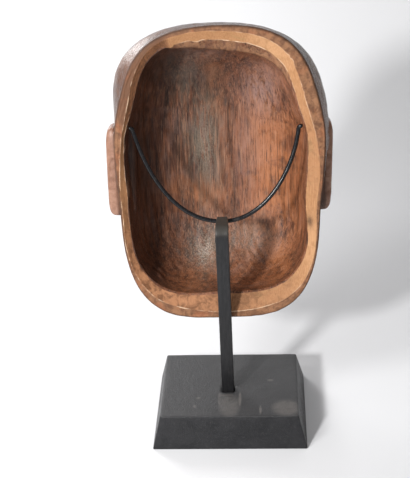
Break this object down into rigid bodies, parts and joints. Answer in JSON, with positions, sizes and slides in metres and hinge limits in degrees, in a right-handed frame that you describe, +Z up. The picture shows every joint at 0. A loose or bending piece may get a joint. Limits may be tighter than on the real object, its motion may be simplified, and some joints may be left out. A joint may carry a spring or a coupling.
{
  "type": "carved wooden mask on display stand",
  "caption": "Carved wooden face mask with closed eyes, slab ears and a deep smooth hollow, held by a bent wire cradle on a flat upright bar set in a black splayed base.",
  "frame": {"origin": "centre of the stand base's flat underside", "axes": "+Z up; the mask's face looks along -Y and its open hollow along +Y; +X is the wearer's left"},
  "size_m": [0.2143, 0.188, 0.39],
  "materials": {
    "carved_wood": "dark brown hand-worn patina outside and in the hollow, with raw ochre wood on the chamfer round the hollow",
    "black_painted_wood": "matte black paint",
    "black_steel": "satin black",
    "black_rod": "satin black with bright wear"
  },
  "bodies": {
    "root": {"mask": "carved_wood", "stand_base": "black_painted_wood", "upright_bar": "black_steel", "cradle_wire": "black_rod"}
  },
  "joints": []
}
